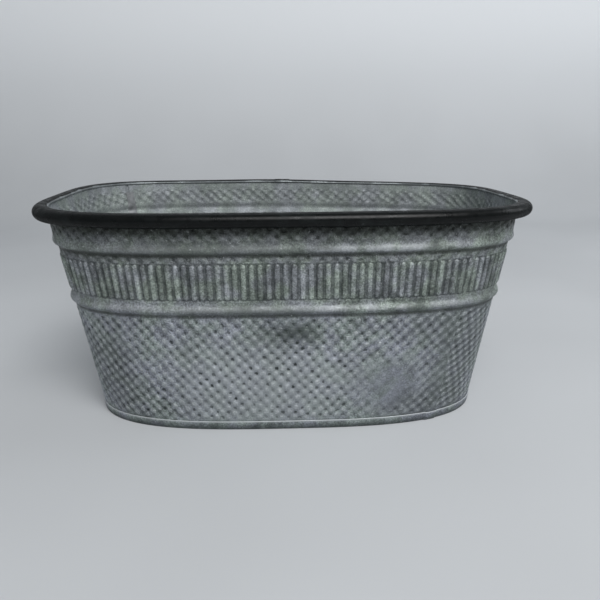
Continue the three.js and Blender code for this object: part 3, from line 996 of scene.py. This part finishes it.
def pressed_finish(tree, tone, height, where):
    """The pressed pattern, the marks of age, and painted shade and highlights, laid over the zinc in a fixed order."""
    wander = times(tree, calc(tree, "SUBTRACT", noise(tree, where, 330, 3, 0.75), 0.5), 1.5)
    inside = attribute(tree, "inside")
    outside = calc(tree, "SUBTRACT", 1.0, inside)
    pit, ridge, groove = pattern_shares(tree, where, wander)
    glint = times(tree, ramp(tree, noise(tree, where, 560, 3, 0.75), 0.51, 0.62), ridge)
    tone = broad_tones(tree, tone, inside)
    # Painted highlights: the ridges between the pits are paler, and painted glints lie on them.
    tone = coat(tree, tone, ZINC_PALE, ridge, outside, 0.5)
    tone = coat(tree, tone, SPECK, glint, outside, 0.62)
    # Painted highlight on the bumps that the pits make on the inner face.
    tone = coat(tree, tone, SPECK, pit, inside, 0.22)
    # Pits and the grooves between flutes are darkened: partly dirt in the hollows, partly painted shade.
    tone = coat(tree, tone, HOLLOW, pit, outside, 0.92)
    tone = coat(tree, tone, HOLLOW, groove, outside, 0.75)
    # Painted shade under the beads and the rim.
    tone = coat(tree, tone, PAINTED_SHADE, shade_under_ledges(tree, wander), outside)
    # Painted highlight on the upper side of the beads.
    tone = coat(tree, tone, SPECK, bead_highlights(tree, where, wander), outside)
    tone = blend(tree, outside, tone, tint(tree, tone, flute_tones(tree)))
    # Painted shadow just under the rim, in the rim's black.
    tone = coat(tree, tone, RIM_BLACK, painted_rim_shadow(tree, wander), outside)
    tone = coat(tree, tone, STAIN, attribute(tree, "stained"), 0.78)
    tone = rubbed_patch(tree, tone, where, outside)
    carved = calc(tree, "SUBTRACT", times(tree, ridge, 0.6), pit)
    carved = calc(tree, "SUBTRACT", carved, times(tree, groove, 0.9))
    carved = times(tree, carved, calc(tree, "SUBTRACT", outside, inside))
    return tone, calc(tree, "ADD", height, carved)


sheet_zinc = galvanised("sheet_zinc", True)
plain_zinc = galvanised("plain_zinc", False)
print("zinc finishes made")

# %% [markdown]
# ## The dark rim
#
# The rim band was blacked before it was rolled on. It is smooth and half glossy, nearly black with a green
# cast, with a greyer bloom in places and fine scratches. Old blacking stays dark when it is seen edge-on,
# where new paint would shine, so the gloss weakens with the angle.

# %% Rim finish
RIM_GREY = (0.014, 0.018, 0.018)


def blacked():
    """Near-black with grey bloom, scratches in the roughness, and a fine grain."""
    finish, tree, shader, where = new_finish("rim_black")
    bloom = ramp(tree, noise(tree, where, 60, 5, 0.6), 0.45, 0.8)
    fine = ramp(tree, noise(tree, where, 700, 2, 0.6), 0.55, 0.8)
    tone = coat(tree, RIM_BLACK, RIM_GREY, bloom, 0.6)
    tone = coat(tree, tone, RIM_GREY, fine, 0.25)
    rubbed_through = calc(tree, "ADD", attribute(tree, "inward"), calc(tree, "SUBTRACT", bloom, 0.5))
    bare = ramp(tree, rubbed_through, 0.1, 0.8)
    tone = blend(tree, bare, tone, ZINC_MID)
    tree.links.new(tone, shader.inputs["Base Color"])
    scratched = ramp(tree, noise(tree, where, 150, 4), 0.3, 0.7, 0.24, 0.40)
    tree.links.new(scratched, shader.inputs["Roughness"])
    tree.links.new(times(tree, bare, 0.5), shader.inputs["Metallic"])
    facing_away = add_node(tree, "ShaderNodeLayerWeight", {"Blend": 0.5}).outputs["Facing"]
    tree.links.new(ramp(tree, facing_away, 0.3, 0.8, 0.19, 0.01), shader.inputs["Specular IOR Level"])
    relief(tree, shader, noise(tree, where, 500, 3), 0.08 * MM)
    return finish


rim_black = blacked()

# %% [markdown]
# ## Wire, solder and sealant
#
# The wire inside the roll is plain drawn steel with faint rust. Old solder is as dull as the zinc and
# slightly rippled. The sealant is dull and grey, with dust in it.

# %% Small finishes
def simple_finish(name, dark, pale, scale, metallic, rough, grain):
    """Two tones mixed by noise, with a varied roughness and a fine relief of a given depth."""
    finish, tree, shader, where = new_finish(name)
    share = ramp(tree, noise(tree, where, scale, 5, 0.6), 0.3, 0.7)
    tree.links.new(blend(tree, share, dark, pale), shader.inputs["Base Color"])
    tree.links.new(ramp(tree, noise(tree, where, scale * 2, 3), 0.3, 0.7, *rough), shader.inputs["Roughness"])
    shader.inputs["Metallic"].default_value = metallic
    relief(tree, shader, noise(tree, where, scale * 5, 3), grain)
    return finish


RUST, STEEL = (0.16, 0.12, 0.09), (0.36, 0.36, 0.36)
SOLDER_DARK, SOLDER_PALE = (0.17, 0.18, 0.185), (0.30, 0.31, 0.32)
SEALANT_DARK, SEALANT_DUSTY = (0.07, 0.075, 0.075), (0.15, 0.155, 0.15)
wire_steel = simple_finish("wire_steel", RUST, STEEL, 180, 0.9, (0.3, 0.5), 0.05 * MM)
solder_metal = simple_finish("solder_metal", SOLDER_DARK, SOLDER_PALE, 220, 0.55, (0.48, 0.68), 0.1 * MM)
sealant_grey = simple_finish("sealant_grey", SEALANT_DARK, SEALANT_DUSTY, 140, 0.0, (0.6, 0.85), 0.1 * MM)

# %% [markdown]
# ## Bring the pieces together
#
# Each row gives a new piece, the CAD node it replaces, a slot name and a finish. The piece rides on the one
# body of this trough and takes its finish, and the CAD node is hidden. The wire's CAD node is right as it is
# and keeps its place, with a better finish.

# %% Rides, replacements and finishes
PIECES = [
    (front_sheet, "wall_sheet_front", "galvanised", sheet_zinc),
    (back_sheet, "wall_sheet_back", "galvanised", sheet_zinc),
    (foot_pan, "floor_pan", "galvanised", plain_zinc),
    (rim_roll, "rim_band", "rim", rim_black),
    (front_solder, "front_seam_solder", "solder", solder_metal),
    (back_solder, "back_seam_solder", "solder", solder_metal),
    (floor_bead, "floor_sealant", "sealant", sealant_grey),
]
for piece, node_name, slot_name, finish in PIECES:
    piece.data.materials.append(finish)
    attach(piece, "root")
    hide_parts(node_name)
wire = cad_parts["rim_wire"]
wire.data.materials.clear()
wire.data.materials.append(wire_steel)
print("pieces:", [piece.name for piece, *_ in PIECES] + [wire.name])

# %% [markdown]
# ## Stage, light and camera
#
# The trough stands on a plain pale floor in an evenly lit studio. One wide lamp hangs in front,
# above and a little to the right, and a weaker one stands to the right. The camera looks slightly down from the front.

# %% Floor and backdrop
def matte(name, tone):
    """A plain, rough finish for the stage."""
    finish, tree, shader, where = new_finish(name)
    shade = ramp(tree, noise(tree, where, 3, 2), 0.3, 0.7, 0.97, 1.03)
    tone = tint(tree, tone, shade)
    height = add_node(tree, "ShaderNodeSeparateXYZ", {"Vector": where}).outputs[2]
    tone = blend(tree, ramp(tree, height, 0.02, 0.6), tone, (0.86, 0.88, 0.90))
    tree.links.new(tone, shader.inputs["Base Color"])
    shader.inputs["Roughness"].default_value = 0.85
    return finish


FLOOR_REACH, BACKDROP_AT, BACKDROP_HEIGHT, SWEEP = 4.0, 1.2, 2.5, 0.35
sweep_turn = np.linspace(-np.pi / 2, 0, 17)
sweep_y, sweep_z = BACKDROP_AT - SWEEP + SWEEP * np.cos(sweep_turn), SWEEP + SWEEP * np.sin(sweep_turn)
sweep = np.stack([sweep_y, sweep_z], axis=-1)
side_line = np.concatenate([[[-FLOOR_REACH, 0]], sweep, [[BACKDROP_AT, BACKDROP_HEIGHT]]])
stage_points = np.array([[[x, y, z] for x in (-FLOOR_REACH, FLOOR_REACH)] for y, z in side_line])
stage_floor = make_mesh("stage_floor", stage_points, grid_cells(len(side_line), 2))
stage_floor.data.materials.append(matte("stage_pale", (0.52, 0.535, 0.55)))


# %% Lamps and world
def soft_lamp(name, at, aim, size, power, tint=(1.0, 1.0, 1.0)):
    """A square area lamp at a place, turned to a point."""
    data = bpy.data.lights.new(name, "AREA")
    data.shape, data.size, data.energy, data.color = "SQUARE", size, power, tint
    lamp = bpy.data.objects.new(name, data)
    lamp.location = at
    lamp.rotation_euler = (Vector(aim) - Vector(at)).to_track_quat("-Z", "Y").to_euler()
    bpy.context.scene.collection.objects.link(lamp)
    return lamp


soft_lamp("key_lamp", (0.45, -1.45, 1.75), (0.0, 0.0, 0.1), 1.25, 43.0)
soft_lamp("right_lamp", (1.6, 0.2, 0.9), (0.0, 0.0, 0.1), 0.8, 4.6, (0.93, 0.96, 1.0))
world = bpy.data.worlds.new("studio")
world.use_nodes = True
world.node_tree.nodes["Background"].inputs["Color"].default_value = (0.72, 0.76, 0.80, 1.0)
world.node_tree.nodes["Background"].inputs["Strength"].default_value = 0.35
bpy.context.scene.world = world
bpy.context.scene.view_settings.view_transform = "Standard"

# %% Camera
CAMERA_AT = Vector((-0.00056, -0.5272, 0.2415))
YAW, PITCH, ROLL = -0.0251, 0.2930, -0.0092
turned = Matrix.Rotation(YAW, 3, "Z")
right = turned @ Vector((1, 0, 0))
forward = turned @ Vector((0, np.cos(PITCH), -np.sin(PITCH)))
upward = right.cross(forward)
rolled_right = right * np.cos(ROLL) + upward * np.sin(ROLL)
rolled_up = upward * np.cos(ROLL) - right * np.sin(ROLL)
camera_data = bpy.data.cameras.new("camera")
camera_data.sensor_width = 36.0
camera_data.lens = 36.0
camera = bpy.data.objects.new("camera", camera_data)
axes = Matrix((rolled_right, rolled_up, -forward)).transposed()
camera.matrix_world = Matrix.Translation(CAMERA_AT) @ axes.to_4x4()
bpy.context.scene.collection.objects.link(camera)
bpy.context.scene.camera = camera
